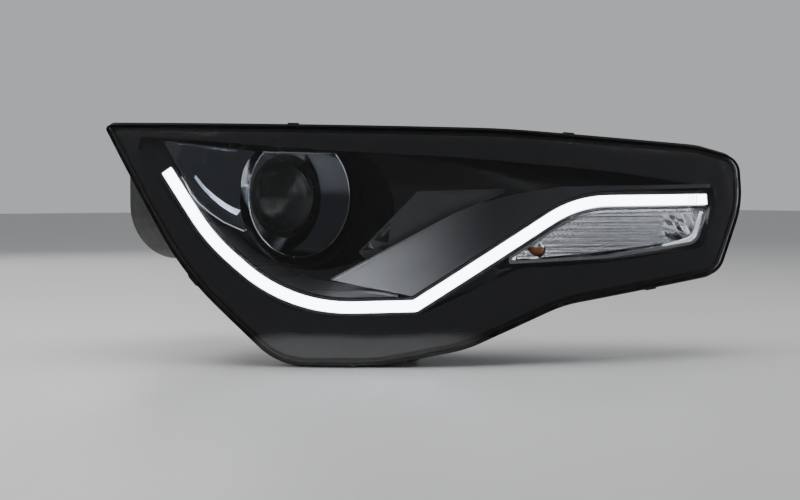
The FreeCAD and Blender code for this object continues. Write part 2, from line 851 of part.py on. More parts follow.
def padded(label, points, length, plane="XY_Plane"):
    """A body raised from a profile of (across, along)."""
    body = new_body(label)
    pad = body.newObject("PartDesign::Pad", f"{label}_raised")
    pad.Profile = profile(body, f"{label}_outline", points, plane)
    pad.setExpression("Length", as_size(length).text)
    doc.recompute()
    return body


def shape_on(body, kind, name, at, sizes, turn=ALONG_Z):
    """Adds or takes away a plain shape: kind is a PartDesign primitive such as SubtractiveBox."""
    item = body.newObject(f"PartDesign::{kind}", f"{body.Label}_{name}")
    bind(item, sizes)
    put(item, at, turn)
    doc.recompute()
    return item


def add_box(body, name, low, high):
    sizes = {key: high[axis] - as_size(low[axis]) for axis, key in enumerate(("Length", "Width", "Height"))}
    return shape_on(body, "AdditiveBox", name, low, sizes)


def cut_box(body, name, low, high):
    sizes = {key: high[axis] - as_size(low[axis]) for axis, key in enumerate(("Length", "Width", "Height"))}
    return shape_on(body, "SubtractiveBox", name, low, sizes)


def add_rod(body, name, at, radius, length, turn=ALONG_Z):
    return shape_on(body, "AdditiveCylinder", name, at, {"Radius": radius, "Height": length}, turn)


def cut_rod(body, name, at, radius, length, turn=ALONG_Z):
    return shape_on(body, "SubtractiveCylinder", name, at, {"Radius": radius, "Height": length}, turn)


def group(label, master, places, rotation=ALONG_Z):
    """Equal loose pieces in one sub-part: copies of the master at each lamp-frame place."""
    copies = []
    for place in places:
        copy = master.Shape.copy()
        copy.Placement = FreeCAD.Placement(vec(*place), rotation)
        copies.append(copy)
    feature = doc.addObject("Part::Feature", label)
    feature.Label = label
    feature.Shape = Part.makeCompound(copies)
    return keep(feature)


def rectangle(half_across, half_along):
    across, along = as_size(half_across), as_size(half_along)
    return [(-across, -along), (across, -along), (across, along), (-across, along)]


ALONG_X = FreeCAD.Rotation(FreeCAD.Vector(0, 1, 0), 90)
ALONG_Y = REARWARD
BOLT_ANGLES = (20.0, 160.0, 200.0, 340.0)


def on_beam(depth):
    return (mm("beam_across"), depth, mm("beam_up"))


def bolt_places(radius):
    for angle in BOLT_ANGLES:
        turn = math.radians(angle)
        yield radius * math.cos(turn), radius * math.sin(turn)


def drill_bolts(body, start, length):
    """The clearance holes of the projector's through screws."""
    for index, angle in enumerate(BOLT_ANGLES):
        turn = math.radians(angle)
        at = (dim("bolt_circle") * math.cos(turn), dim("bolt_circle") * math.sin(turn), start)
        cut_rod(body, f"hole_{index}", at, dim("bolt_radius") + 0.1, length)


def make_projector_optics():
    # Each body runs rearwards along its own Z; its own Y points down in the lamp frame.
    flat = dim("shroud_flat")
    radius = dim("shroud_radius")
    wall = dim("shroud_wall")
    length = dim("shroud_length")

    shroud = turned("projector_shroud", [(0, 0), (radius, 0), (radius, length), (0, length)])
    cut_box(shroud, "flat", (-radius * 2, -radius * 2, -1), (radius * 2, -flat, length + 1))
    core_depth = length - wall
    inner = radius - wall
    core = turned("shroud_core", [(0, 0), (inner, 0), (inner, core_depth), (0, core_depth)])
    cut_box(core, "flat", (-radius * 2, -radius * 2, -1), (radius * 2, -flat + wall, length + 1))
    hollow = shroud.newObject("PartDesign::Boolean", "shroud_hollow")
    hollow.Type = "Cut"
    hollow.setObjects([core])
    doc.recompute()
    cut_rod(shroud, "mouth", (0, 0, -1), dim("retainer_radius") + 0.1, length + 2)
    keep(shroud, on_beam(mm("shroud_front")), REARWARD)

    edge = 3.0
    dome = dim("glass_dome")
    rim = dim("glass_radius")
    rise = mm("glass_dome") - edge
    half = mm("glass_radius") - 2
    ball = (half ** 2 + rise ** 2) / (2 * rise)
    lens = turned("projector_lens", [
        (0, 0, -ball),
        (rim - 2, dome - edge),
        (rim, dome - edge),
        (rim, dome),
        (0, dome),
    ])
    keep(lens, on_beam(mm("glass_back") - mm("glass_dome")), REARWARD)

    outer = dim("retainer_radius")
    retainer = turned("lens_retainer", [
        (rim - 1.2, 0),
        (outer, 0),
        (outer, 1.3),
        (outer + 2.5, 1.3),
        (outer + 2.5, 3.1),
        (outer, 3.1),
        (outer, 12.6),
        (dim("rim_radius"), 12.6),
        (dim("rim_radius"), 6.8),
        (rim + 0.2, 6.8),
        (rim + 0.2, 3.5),
        (rim - 1.2, 3.5),
    ])
    keep(retainer, on_beam(mm("glass_back") - 6.6), REARWARD)

    length = dim("barrel_back") - dim("barrel_front")
    plate = dim("plate_radius")
    thick = dim("plate_thickness")
    spigot = dim("rim_radius") - 0.1
    holder = turned("lens_holder", [
        (spigot - 3.1, 0),
        (spigot, 0),
        (spigot, 7.8),
        (spigot + 2.6, 7.8),
        (dim("barrel_radius"), length - thick),
        (plate, length - thick),
        (plate, length),
        (dim("barrel_radius") - 2.7, length),
        (spigot - 0.4, 9.4),
        (spigot - 3.1, 8.4),
    ])
    drill_bolts(holder, length - thick - 1, thick + 2)
    for index, angle in enumerate((45, 135)):
        across = FreeCAD.Rotation(FreeCAD.Vector(0, 0, 1), angle).multiply(ALONG_X)
        slope = math.radians(angle)
        at = (-80 * math.cos(slope), -80 * math.sin(slope), length * 0.52)
        cut_rod(holder, f"window_{index}", at, 6.5, 160, across)
    cut_box(holder, "plunger_slot", (-4, 40, length - 13), (4, 50.5, length + 1))
    keep(holder, on_beam(mm("barrel_front")), REARWARD)


def make_shield():
    thick = dim("plate_thickness")
    plate = dim("plate_radius")
    # Heights below are measured down from the beam axis, along the body's own Y.
    base = turned("shield_base", [(33, 0), (plate, 0), (plate, thick), (33, thick)])
    add_box(base, "cutoff", (-33.5, 0, 0), (33.5, 34, thick))
    cut_box(base, "window", (-24, 1, -1), (24, 27, thick + 1))
    cut_box(base, "lever_slot", (-7, 36, -1), (7, 47.5, thick + 1))
    for index, side in enumerate((-30.0, 27.0)):
        add_box(base, f"ear_{index}", (side, 29.5, -7.5), (side + 3, 34.5, thick))
    cut_rod(base, "pin_bore", (-40, 32, -5), 1.3, 80, ALONG_X)
    drill_bolts(base, -1, thick + 2)
    keep(base, on_beam(mm("barrel_back")), REARWARD)

    flap = padded("shutter_flap", [(-26, -32), (26, -32), (26, 1), (-26, 1)], 2.0)
    add_rod(flap, "pin", (-30, 0, 1), 1.25, 60, ALONG_X)
    add_box(flap, "prong_left", (-5, 0, 0), (-1.8, 13.6, 2))
    add_box(flap, "prong_right", (1.8, 0, 0), (5, 13.6, 2))
    keep(flap, (mm("beam_across"), mm("barrel_back") - 6, mm("beam_up") - 32), REARWARD)

    back = 27.0
    front = dim("barrel_back") + thick * 2 + 2.0
    coil = padded("shutter_solenoid", [(-11, 38.5), (11, 38.5), (11, 56), (-11, 56)], back)
    cut_rod(coil, "bore", (0, 44, -1), 2.1, back + 2)
    add_box(coil, "plug", (-5, 50, back), (5, 56, back + 9))
    keep(coil, on_beam(front.value), REARWARD)

    plunger = turned("solenoid_plunger", [
        (0, 0), (2.6, 0), (2.6, 1.2), (1.4, 1.2), (1.4, 16), (2.0, 16), (2.0, 38), (0, 38)
    ])
    keep(plunger, (mm("beam_across"), mm("barrel_back") - 8.6, mm("beam_up") - 44), REARWARD)


def make_carrier():
    thick = dim("plate_thickness")
    plate = dim("plate_radius")
    across = dim("pivot_half_width")
    up = dim("pivot_half_height")
    depth = dim("pivot_depth") - dim("barrel_back") - thick
    ball = dim("ball_radius")
    frame = turned("carrier_frame", [(38.2, 0), (plate, 0), (plate, thick), (38.2, thick)])
    add_box(frame, "arm_pivot", (across - 24, -up - 8, 0), (across + 5, -up + 20, thick))
    add_box(frame, "arm_side", (-across - 8, -up - 7, 0), (-across + 24, -up + 20, thick))
    add_box(frame, "arm_low", (across - 24, up - 20, 0), (across + 8, up + 7, thick))
    add_rod(frame, "barrel", (across - 5, -up, depth), 9.5, 10, ALONG_X)
    add_box(frame, "barrel_web", (across - 5, -up - 6, 0), (across + 5, -up + 6, depth))
    for name, side, height in (("side_socket", -across, -up), ("low_socket", across, up)):
        add_rod(frame, name, (side, height, 0), 8.2, depth + 5)
        shape_on(frame, "SubtractiveSphere", f"{name}_seat", (side, height, depth), {"Radius": ball + 0.6})
        cut_rod(frame, f"{name}_mouth", (side, height, depth), ball - 0.6, 20)
    cut_rod(frame, "barrel_bore", (across - 10, -up, depth), 7.08, 20, ALONG_X)
    cut_rod(frame, "barrel_mouth", (across, -up, depth), 4.4, 20)
    cut_rod(frame, "reflector_hole", (0, 0, -1), 38.2, 40)
    cut_rod(frame, "plunger_hole", (0, 44, -1), 5.4, thick + 2)
    drill_bolts(frame, -1, thick + 2)
    keep(frame, on_beam(mm("barrel_back") + mm("plate_thickness")), REARWARD)

    insert = turned("pivot_insert", [(0, 0), (7, 0), (7, 10), (0, 10)])
    shape_on(insert, "SubtractiveSphere", "seat", (0, 0, 5), {"Radius": ball + 0.06})
    cut_rod(insert, "mouth", (0, 0, 5), 3.3, 20, REARWARD)
    sideways = FreeCAD.Rotation(FreeCAD.Vector(0, 1, 0), 90)
    keep(insert, (AIM_RIGHT - 5, mm("pivot_depth"), AIM_TOP), sideways)


def make_reflector_and_bulb():
    thick = dim("plate_thickness")
    bowl = dim("bowl_radius")
    wall = dim("bowl_wall")
    neck = dim("neck_radius")
    back = dim("neck_back") - dim("barrel_back") - 2 * thick
    curve = 74.0
    reflector = turned("ellipsoid_reflector", [
        (bowl, 0),
        (dim("plate_radius"), 0),
        (dim("plate_radius"), 2),
        (bowl + wall, 2, -curve),
        (neck, dim("bowl_depth") - 6),
        (neck, back),
        (neck - wall, back),
        (neck - wall, dim("bowl_depth") - 6.4, curve),
    ])
    drill_bolts(reflector, -1, 4)
    cut_rod(reflector, "plunger_hole", (0, 44, -1), 5.4, 4)
    keep(reflector, on_beam(mm("barrel_back") + 2 * mm("plate_thickness")), REARWARD)

    ring = turned("bulb_lock_ring", [
        (neck + 0.08, 0), (neck + 4.5, 0), (neck + 4.5, 9.5), (14, 9.5), (14, 8.1), (neck + 0.08, 8.1)
    ])
    for index in range(3):
        turn = math.radians(120 * index + 30)
        at = ((neck + 4.6) * math.cos(turn), (neck + 4.6) * math.sin(turn), 0)
        add_rod(ring, f"grip_{index}", at, 2.4, 9.5)
    keep(ring, on_beam(mm("neck_back") - 6), REARWARD)

    base = turned("bulb_base", [
        (0, 0), (8, 0), (8, 16.1), (neck - 0.4, 16.1), (neck - 0.4, 18), (13.6, 18), (13.6, 30), (0, 30)
    ])
    add_box(base, "plug_housing", (-15, -12, 30), (15, 12, 38))
    keep(base, on_beam(mm("neck_back") - 16.05), REARWARD)

    bulb = turned("xenon_bulb", [
        (0, 0), (2.2, 0), (3.2, 4), (3.2, 12, -9.0), (3.2, 22), (4.6, 26), (4.6, 40), (0, 40)
    ])
    keep(bulb, on_beam(mm("neck_back") - 56.1), REARWARD)

    screw = turned("projector_screw", [(0, 0), (3.2, 0), (3.2, 3.2), (2, 3.2), (2, 19), (0, 19)])
    front = mm("barrel_back") - mm("plate_thickness") - 3.2
    places = []
    for across, up in bolt_places(mm("bolt_circle")):
        places.append((mm("beam_across") + across, front, mm("beam_up") + up))
    group("projector_screws", screw, places, REARWARD)


def make_aiming():
    ball = dim("ball_radius")
    rod = dim("rod_radius")
    back = dim("bucket_back")
    reach = back - dim("pivot_depth") - 3.0

    stud = turned("pivot_stud", [
        (0, 0), (rod, 0), (rod, reach - 3), (4.6, reach - 3), (4.6, reach), (rod, reach),
        (rod, reach + 8), (0, reach + 8),
    ])
    shape_on(stud, "AdditiveSphere", "ball", (0, 0, 0), {"Radius": ball})
    keep(stud, (AIM_RIGHT, mm("pivot_depth"), AIM_TOP), REARWARD)

    side = turned("horizontal_aim_rod", [(0, 0), (rod, 0), (rod, reach + 26), (0, reach + 26)])
    shape_on(side, "AdditiveSphere", "ball", (0, 0, 0), {"Radius": ball})
    keep(side, (AIM_LEFT, mm("pivot_depth"), AIM_TOP), REARWARD)

    low = turned("levelling_rod", [(0, 0), (rod, 0), (rod, reach + 22), (0, reach + 22)])
    shape_on(low, "AdditiveSphere", "ball", (0, 0, 0), {"Radius": ball})
    keep(low, (AIM_RIGHT, mm("pivot_depth"), AIM_BOTTOM), REARWARD)

    bore = rod + 0.08
    gear = turned("horizontal_aim_gear", [
        (bore, 0), (4.12, 0), (4.12, 8.1), (10.5, 8.1), (10.5, 14), (6.5, 14), (6.5, 20), (bore, 20)
    ])
    for index in range(12):
        turn = math.radians(30 * index)
        cut_rod(gear, f"tooth_{index}", (10.9 * math.cos(turn), 10.9 * math.sin(turn), 7), 1.3, 8)
    keep(gear, (AIM_LEFT, mm("bucket_back") - 3, AIM_TOP), REARWARD)

    motor = turned("levelling_motor", [(bore, 0), (15.5, 0), (15.5, 7), (bore, 7)])
    add_box(motor, "case", (-14, -14, 6), (30, 26, 34))
    add_box(motor, "connector", (6, 26, 10), (30, 38, 30))
    cut_box(motor, "socket", (9, 28, 13), (27, 39, 27))
    cut_rod(motor, "bore", (0, 0, -1), bore, 26)
    cut_rod(motor, "screw_seat", (0, 0, 24), 4.1, 11)
    keep(motor, (AIM_RIGHT, mm("bucket_back") + 4.0, AIM_BOTTOM), REARWARD)

    screw = turned("vertical_aim_screw", [(0, 0), (4, 0), (4, 9.2), (8.5, 9.2), (8.5, 15), (0, 15)])
    for index in range(10):
        turn = math.radians(36 * index)
        cut_rod(screw, f"tooth_{index}", (9 * math.cos(turn), 9 * math.sin(turn), 9.2), 1.2, 8)
    keep(screw, (AIM_RIGHT, mm("bucket_back") + 29.0, AIM_BOTTOM), REARWARD)


def make_service_cap():
    radius = dim("cap_radius")
    cap = turned("main_service_cap", [
        (0, 11.5), (30, 11.5), (33, 15), (radius + 0.08, 15),
        (radius + 0.08, 0), (radius + 3.4, 0), (radius + 3.4, 16), (radius, 18.4),
        (34, 18.4), (30, 14.6), (0, 14.6),
    ])
    add_box(cap, "tab", (-9, -radius - 14, 14.5), (9, -radius + 4, 18))
    keep(cap, on_beam(mm("bucket_back") + 0.5), REARWARD)


def make_turn_lamp():
    across, up = mm("turn_bulb_across"), mm("turn_bulb_up")
    radius = dim("turn_bulb_radius")
    front = 56.0
    bulb = turned("turn_bulb", [
        (0, 0, -7.6), (radius, 7.5), (radius, 34), (5.6, 40), (5.6, 60), (0, 60)
    ])
    keep(bulb, face_point(across, front, up), FACE_REARWARD)

    holder = turned("turn_bulb_holder", [
        (5.7, 0), (9.5, 0), (9.5, 34), (14, 34), (14, 51), (17.5, 51), (17.5, 55),
        (11, 55), (11, 66), (0, 66), (0, 10.1), (5.7, 10.1),
    ])
    add_box(holder, "grip", (-2.5, -16.5, 55), (2.5, 16.5, 63))
    keep(holder, face_point(across, mm("slant_back") - 50.9, up), FACE_REARWARD)


def make_outside():
    width, length, height = dim("ballast_width"), dim("ballast_length"), dim("ballast_height")
    seal = 2.0
    top = -76.0 - seal
    tall = height - 1.5
    half_width, half_length = width * 0.5, length * 0.5
    ballast = padded("ballast", rectangle(half_width, half_length), tall)
    for index, (side, end) in enumerate(((-1, -1), (1, -1), (-1, 1), (1, 1))):
        at = (side * (half_width + 4.5), end * 23.0, tall - 5)
        add_rod(ballast, f"ear_{index}", at, 6.5, 5)
        cut_rod(ballast, f"ear_hole_{index}", at, 2.1, 6)
    for index in range(9):
        start = -half_width + 8 + 11.2 * index
        cut_box(ballast, f"fin_gap_{index}", (start, -half_length + 6, -1), (start + 6, half_length - 6, 5))
    add_box(ballast, "plug", (-14, half_length, 6), (14, half_length + 14, 24))
    cut_box(ballast, "socket", (-11, half_length + 2, 9), (11, half_length + 15, 21))
    centre = (BALLAST_ACROSS + mm("ballast_width") / 2, BALLAST_FRONT + mm("ballast_length") / 2)
    keep(ballast, face_point(*centre, top - tall.value), FACE_TURN)

    gasket = padded("ballast_seal", rectangle(half_width - 0.5, half_length - 0.5), seal)
    cut_box(gasket, "inside", (-half_width + 5, -half_length + 5, -1), (half_width - 5, half_length - 5, 3))
    keep(gasket, face_point(*centre, top), FACE_TURN)

    screw = turned("housing_screw", [(0, 0), (4, 0), (4, 3), (2, 3), (2, 13), (0, 13)])
    places = [face_point(across, depth, top - 8.0) for across, depth in BALLAST_SCREWS]
    group("ballast_screws", screw, places)

    half_width, half_height = dim("driver_width") * 0.5, dim("driver_height") * 0.5
    deep = dim("driver_depth")
    driver = padded("drl_driver", rectangle(half_width, half_height), deep)
    for index in range(7):
        start = -half_width + 6 + 8 * index
        cut_box(driver, f"fin_gap_{index}", (start, -half_height - 1, deep - 8), (start + 5, half_height + 1, deep + 1))
    add_box(driver, "ears", (-half_width - 8, -6, 0), (half_width + 8, 6, 3))
    for index, side in enumerate((-36.5, 36.5)):
        cut_rod(driver, f"ear_hole_{index}", (side, 0, -1), 1.6, 5)
    across, up = DRIVER_LOW[0] + mm("driver_width") / 2, DRIVER_LOW[1] + mm("driver_height") / 2
    keep(driver, face_point(across, mm("slant_back"), up), FACE_REARWARD)

    small = turned("small_screw", [(0, 0), (1.5, 0), (1.5, 9), (3.2, 9), (3.2, 11), (0, 11)])
    places = [face_point(across, mm("slant_back") - 6, up) for across, up in DRIVER_SCREWS]
    group("driver_screws", small, places, FACE_REARWARD)

    plate = padded("lower_bracket", rectangle(20, 12), 2.5)
    add_box(plate, "shelf", (-20, 9.5, 0), (20, 12, 30))
    cut_rod(plate, "bolt_hole", (0, 5, 18), 3.3, 10, FreeCAD.Rotation(FreeCAD.Vector(1, 0, 0), -90))
    for index, side in enumerate((-12.0, 12.0)):
        cut_rod(plate, f"screw_hole_{index}", (side, -4, -1), 1.6, 5)
    across, up = BRACKET_LOW[0] + 20, BRACKET_LOW[1] + 12
    keep(plate, face_point(across, mm("slant_back"), up), FACE_REARWARD)
    places = [face_point(across, mm("slant_back") - 6.5, up) for across, up in BRACKET_SCREWS]
    group("bracket_screws", small, places, FACE_REARWARD)

    vent = turned("vent_cap", [
        (2.5, 0), (4.45, 0), (4.45, 4.5), (8.5, 4.5), (8.5, 9), (6.5, 11), (0, 11), (0, 9), (2.5, 9)
    ])
    places = [face_point(across, mm("slant_back") - 4.5, up) for across, up in VENTS]
    group("vent_caps", vent, places, FACE_REARWARD)

    bush = turned("mount_bush", [
        (dim("bush_bore"), 0), (dim("bush_radius"), 0), (dim("bush_radius"), dim("bush_length")),
        (dim("bush_bore"), dim("bush_length")),
    ])
    group("mount_bushes", bush, [UPPER_INBOARD, UPPER_OUTBOARD])

    x, y, z = CONNECTOR_LOW
    end = y + CONNECTOR_SIZE[1]
    insert = padded("connector_insert", rectangle(21.8, 10.3), 4.0)
    for index in range(8):
        column, row = index % 4, index // 4
        at = (-15.0 + 10 * column, -4.5 + 9 * row, -1)
        cut_rod(insert, f"pin_hole_{index}", at, 1.12, 6)
    keep(insert, (x + 25, end - 26, z + 13.5), REARWARD)
    pin = turned("connector_pin", [(0, 0), (1.1, 0), (1.1, 14), (0.4, 15.5), (0, 15.5)])
    places = []
    for index in range(8):
        column, row = index % 4, index // 4
        places.append((x + 10 + 10 * column, end - 26, z + 9 + 9 * row))
    group("connector_pins", pin, places, REARWARD)


make_free_forms()
make_projector_optics()
make_shield()
make_carrier()
make_reflector_and_bulb()
make_aiming()
make_service_cap()
make_turn_lamp()
make_outside()
doc.recompute()

for item in doc.Objects:
    if "Invalid" in item.State or "Error" in item.State:
        raise ValueError(f"{item.Label} did not compute")
os.makedirs("parts", exist_ok=True)
for item in subparts:
    if item.Shape.isNull() or not item.Shape.isValid():
        raise ValueError(f"{item.Label} has no valid shape")
    item.Shape.exportStep(f"parts/{item.Label}.step")
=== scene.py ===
"""Car headlight assembly: looks, small bright pieces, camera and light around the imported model.

Places are metres in the row frame. Most pieces are drawn in the face frame of the clear cover, in
millimetres: u across the cover, w into the lamp, v up, turned by the cover's sweep.
"""

import json
import math

import bpy
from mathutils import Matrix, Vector


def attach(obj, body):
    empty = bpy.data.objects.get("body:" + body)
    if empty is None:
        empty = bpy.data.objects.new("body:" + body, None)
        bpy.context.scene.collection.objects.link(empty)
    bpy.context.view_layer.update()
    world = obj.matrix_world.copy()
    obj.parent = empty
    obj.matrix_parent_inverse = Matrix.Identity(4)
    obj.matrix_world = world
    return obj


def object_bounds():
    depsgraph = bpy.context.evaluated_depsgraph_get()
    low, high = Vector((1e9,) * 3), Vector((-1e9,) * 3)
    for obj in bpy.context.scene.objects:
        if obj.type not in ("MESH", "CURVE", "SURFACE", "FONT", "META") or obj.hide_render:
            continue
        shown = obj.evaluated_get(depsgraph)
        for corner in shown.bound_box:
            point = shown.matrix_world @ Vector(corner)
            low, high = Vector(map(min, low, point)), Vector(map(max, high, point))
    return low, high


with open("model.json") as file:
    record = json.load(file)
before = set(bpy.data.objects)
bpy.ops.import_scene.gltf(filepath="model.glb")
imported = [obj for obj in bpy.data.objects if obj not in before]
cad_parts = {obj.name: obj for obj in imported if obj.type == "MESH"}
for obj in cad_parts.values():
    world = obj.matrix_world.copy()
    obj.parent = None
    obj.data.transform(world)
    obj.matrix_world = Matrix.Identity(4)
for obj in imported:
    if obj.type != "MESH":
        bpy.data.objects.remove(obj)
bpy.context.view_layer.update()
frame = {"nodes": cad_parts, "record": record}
NODES = frame["nodes"]

SWEEP = math.radians(38.0)
FACE_ZERO = Vector((-0.228, -0.047, -0.088))
U_AXIS = Vector((math.cos(SWEEP), -math.sin(SWEEP), 0.0))
W_AXIS = Vector((math.sin(SWEEP), math.cos(SWEEP), 0.0))

# The cover's outer surface: its crest across, the radii of its bow across and upwards, and its rake.
COVER_CREST = -30.0
BEND_ACROSS = 700.0
BEND_UP = 450.0
COVER_RAKE = 0.22

# The turn reflector's bowl: its depth behind the cover at its deepest point, and how it rises round it.
BOWL_DEPTH = 62.0
BOWL_U, BOWL_V = 205.0, 8.0
BOWL_RISE_ACROSS, BOWL_RISE_UP = 0.0021, 0.022

# The upper facet, tilted about one of its points.
FACET_DEPTH = 40.0
FACET_U, FACET_V = 20.0, 20.0
FACET_TILT_ACROSS, FACET_TILT_UP = 0.10, 0.18

# The beam's centre line.
BEAM_U, BEAM_V = -30.5, 43.0
BEAM = FACE_ZERO + Vector((BEAM_U, 0.0, BEAM_V)) / 1000


def place(u, w, v):
    """A row-frame point from face-frame millimetres."""
    return FACE_ZERO + U_AXIS * (u / 1000) + W_AXIS * (w / 1000) + Vector((0, 0, v / 1000))


def cover_depth(u, v):
    """Depth of the cover's outer surface at a face point, in millimetres."""
    return (u - COVER_CREST) ** 2 / (2 * BEND_ACROSS) + COVER_RAKE * v + v * v / (2 * BEND_UP)


def reflector_depth(u, v):
    """Depth of the turn reflector's bowl at a face point, in millimetres."""
    rise = BOWL_RISE_ACROSS * (u - BOWL_U) ** 2 + BOWL_RISE_UP * (v - BOWL_V) ** 2
    return cover_depth(u, v) + BOWL_DEPTH - rise


def facet_depth(u, v):
    """Depth of the upper facet's face at a face point, in millimetres."""
    tilt = FACET_TILT_ACROSS * (u - FACET_U) - FACET_TILT_UP * (v - FACET_V)
    return cover_depth(u, v) + FACET_DEPTH + tilt


# ---------------------------------------------------------------- materials


# A colour mix node's sockets have the names of its other data types too, so they go by number.
MIX_SHARE, MIX_FIRST, MIX_SECOND, MIX_RESULT = 0, 6, 7, 2


class Look:
    """A node material with one Principled shader, whose inputs are set by name."""

    def __init__(self, name, color, rough, metal=0.0, **inputs):
        self.mat = bpy.data.materials.new(name)
        self.mat.use_nodes = True
        self.tree = self.mat.node_tree
        self.nodes = self.tree.nodes
        self.links = self.tree.links
        self.shader = self.nodes["Principled BSDF"]
        self.output = self.nodes["Material Output"]
        self.shader.inputs["Base Color"].default_value = (*color, 1.0)
        self.shader.inputs["Roughness"].default_value = rough
        self.shader.inputs["Metallic"].default_value = metal
        for key, value in inputs.items():
            self.shader.inputs[key.replace("_", " ")].default_value = value
        self.heights = []

    def node(self, kind, **settings):
        """A new node, whose settings are its own properties or else the values of its inputs."""
        made = self.nodes.new(kind)
        for key, value in settings.items():
            if hasattr(made, key):
                setattr(made, key, value)
            else:
                made.inputs[key.replace("_", " ")].default_value = value
        return made

    def place_coords(self, scale=(1, 1, 1), turn=(0, 0, 0)):
        """Object coordinates, turned and scaled."""
        coords = self.node("ShaderNodeTexCoord")
        mapping = self.node("ShaderNodeMapping")
        mapping.inputs["Scale"].default_value = scale
        mapping.inputs["Rotation"].default_value = turn
        self.links.new(coords.outputs["Object"], mapping.inputs["Vector"])
        return mapping.outputs["Vector"]

    def noise(self, scale, detail=4.0, stretch=(1, 1, 1), turn=(0, 0, 0)):
        texture = self.node("ShaderNodeTexNoise", Scale=scale, Detail=detail)
        self.links.new(self.place_coords(stretch, turn), texture.inputs["Vector"])
        return texture.outputs["Fac"]

    def cells(self, scale):
        texture = self.node("ShaderNodeTexVoronoi", Scale=scale)
        self.links.new(self.place_coords(), texture.inputs["Vector"])
        return texture.outputs["Distance"]

    def ramp(self, source, low, high, start=0.3, end=0.7):
        """The source's values from start to end, spread over low to high."""
        ramp = self.node("ShaderNodeMapRange")
        for key, value in zip(("From Min", "From Max", "To Min", "To Max"), (start, end, low, high)):
            ramp.inputs[key].default_value = value
        self.links.new(source, ramp.inputs["Value"])
        return ramp.outputs["Result"]

    def vary_rough(self, source, low, high, start=0.3, end=0.7):
        self.links.new(self.ramp(source, low, high, start, end), self.shader.inputs["Roughness"])
        return self

    def vary_color(self, source, dark, light, start=0.3, end=0.7):
        return self.mix_color(self.ramp(source, 0.0, 1.0, start, end), dark, light)

    def mix_color(self, share, first, second):
        """Colours the surface from the first colour, at share 0, to the second, at share 1."""
        mix = self.node("ShaderNodeMix", data_type="RGBA")
        mix.inputs[MIX_FIRST].default_value = (*first, 1.0)
        mix.inputs[MIX_SECOND].default_value = (*second, 1.0)
        self.links.new(share, mix.inputs[MIX_SHARE])
        self.links.new(mix.outputs[MIX_RESULT], self.shader.inputs["Base Color"])
        return self

    def bump(self, source, strength, distance):
        """Adds a bump on top of those that the look already has."""
        bump = self.node("ShaderNodeBump", Strength=strength, Distance=distance)
        self.links.new(source, bump.inputs["Height"])
        if self.heights:
            self.links.new(self.heights[-1], bump.inputs["Normal"])
        self.heights.append(bump.outputs["Normal"])
        self.links.new(bump.outputs["Normal"], self.shader.inputs["Normal"])
        return self

    def clear_for_lamps(self, tint=(1, 1, 1)):
        """Lets light from the lamps pass, so that what is behind the glass is lit."""
        path = self.node("ShaderNodeLightPath")
        clear = self.node("ShaderNodeBsdfTransparent")
        clear.inputs["Color"].default_value = (*tint, 1.0)
        mix = self.node("ShaderNodeMixShader")
        self.links.new(path.outputs["Is Shadow Ray"], mix.inputs["Fac"])
        self.links.new(self.shader.outputs[0], mix.inputs[1])
        self.links.new(clear.outputs[0], mix.inputs[2])
        self.links.new(mix.outputs[0], self.output.inputs["Surface"])
        return self


def moulded(name, color, rough, grain=2600.0, depth=0.00006):
    """Moulded plastic with a fine grain over a slow unevenness."""
    look = Look(name, color, rough, Specular_IOR_Level=0.45)
    look.vary_rough(look.noise(90.0), rough - 0.06, rough + 0.08)
    lighter = tuple(min(1.0, c * 1.5 + 0.004) for c in color)
    look.vary_color(look.noise(35.0, 6.0), color, lighter)
    look.bump(look.cells(grain), 0.35, depth)
    look.bump(look.noise(14.0), 0.15, 0.0006)
    return look


def piano_black(name, color=(0.006, 0.006, 0.007)):
    """Polished black plastic under a clear coat."""
    look = Look(name, color, 0.14, Coat_Weight=1.0, Coat_Roughness=0.03)
    look.vary_rough(look.noise(40.0), 0.10, 0.20)
    look.bump(look.noise(55.0, 2.0), 0.05, 0.0004)
    return look


def plated(name, color=(0.86, 0.87, 0.88), rough=0.05):
    """Chrome or another bright metal coat, with the slight waves of the plastic below it."""
    look = Look(name, color, rough, 1.0)
    look.vary_rough(look.noise(60.0), rough, rough + 0.06)
    look.bump(look.noise(30.0, 2.0), 0.04, 0.0004)
    return look


def plated_painted_glow(name, color, rough, glow, strength):
    """A plated look with a painted reflection of the light guide's glow: a weak emission, though the part is
    no lamp.
    """
    look = plated(name, color, rough)
    look.shader.inputs["Emission Color"].default_value = (*glow, 1.0)
    look.shader.inputs["Emission Strength"].default_value = strength
    return look


def brushed(name, color, rough, stretch=(4.0, 4.0, 900.0), turn=(0, 0, SWEEP)):
    """Metal with fine lines, across the direction of the greatest stretch."""
    look = Look(name, color, rough, 1.0)
    lines = look.noise(1.0, 8.0, stretch, turn)
    look.vary_rough(lines, rough - 0.07, rough + 0.10)
    look.bump(lines, 0.12, 0.0002)
    return look


def cast_metal(name, color, rough):
    """Cast metal with a coarse, matt skin."""
    look = Look(name, color, rough, 1.0)
    look.vary_rough(look.noise(160.0, 6.0), rough - 0.08, rough + 0.12)
    look.vary_color(look.noise(25.0, 6.0), tuple(c * 0.8 for c in color), color)
    look.bump(look.noise(700.0, 4.0), 0.25, 0.0002)
    return look


def rubber(name):
    """Matt black rubber."""
    look = Look(name, (0.016, 0.016, 0.017), 0.7)
    look.vary_rough(look.noise(120.0), 0.6, 0.82)
    look.vary_color(look.noise(20.0), (0.013, 0.013, 0.014), (0.03, 0.03, 0.031))
    look.bump(look.cells(1500.0), 0.2, 0.00008)
    return look


def glass(name, tint=(1, 1, 1), ior=1.49, rough=0.0):
    """Clear glass or plastic, very slightly wavy."""
    look = Look(name, tint, rough, Transmission_Weight=1.0, IOR=ior)
    look.bump(look.noise(9.0, 1.0), 0.02, 0.001)
    return look.clear_for_lamps(tint)
